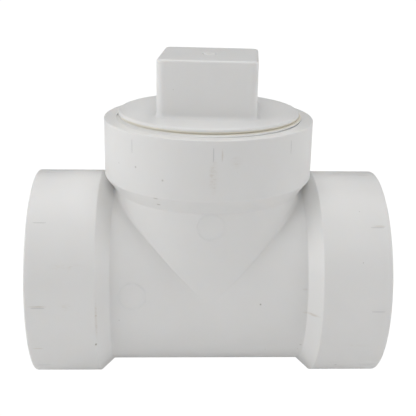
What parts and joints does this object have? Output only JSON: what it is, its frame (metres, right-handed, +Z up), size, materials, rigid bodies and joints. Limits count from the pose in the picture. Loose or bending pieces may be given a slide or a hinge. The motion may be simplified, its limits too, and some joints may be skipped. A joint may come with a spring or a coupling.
{
  "type": "cleanout tee",
  "caption": "White plastic drain tee with two solvent sockets on its run and a threaded branch closed by a screwed plug with a raised square head.",
  "frame": {"origin": "where the centre line of the run crosses the centre line of the branch", "axes": "+X along the run, +Z up the branch towards the plug, +Y across the run away from the side that the picture shows"},
  "size_m": [0.116, 0.07, 0.1109],
  "materials": {
    "tee_pvc": "satin off-white moulded PVC",
    "plug_pvc": "satin off-white moulded PVC"
  },
  "bodies": {
    "tee": {"tee_body": "tee_pvc"},
    "plug_lift_carrier": {"plug_gate_nub": "plug_pvc"},
    "plug": {"cleanout_plug": "plug_pvc"}
  },
  "joints": [
    {"name": "plug_lift", "type": "slide", "parent": "tee", "child": "plug_lift_carrier", "axis": [0, 0, 1], "range_m": [0, 0.01768]},
    {"name": "plug_turn", "type": "hinge", "parent": "plug_lift_carrier", "child": "plug", "pos_m": [0, 0, 0.057], "axis": [0, 0, 1], "range_deg": [0, 2880]}
  ],
  "couplings": [
    {"joint": "plug_lift", "follows": "plug_turn", "m_per_rad": 0.00035152}
  ]
}
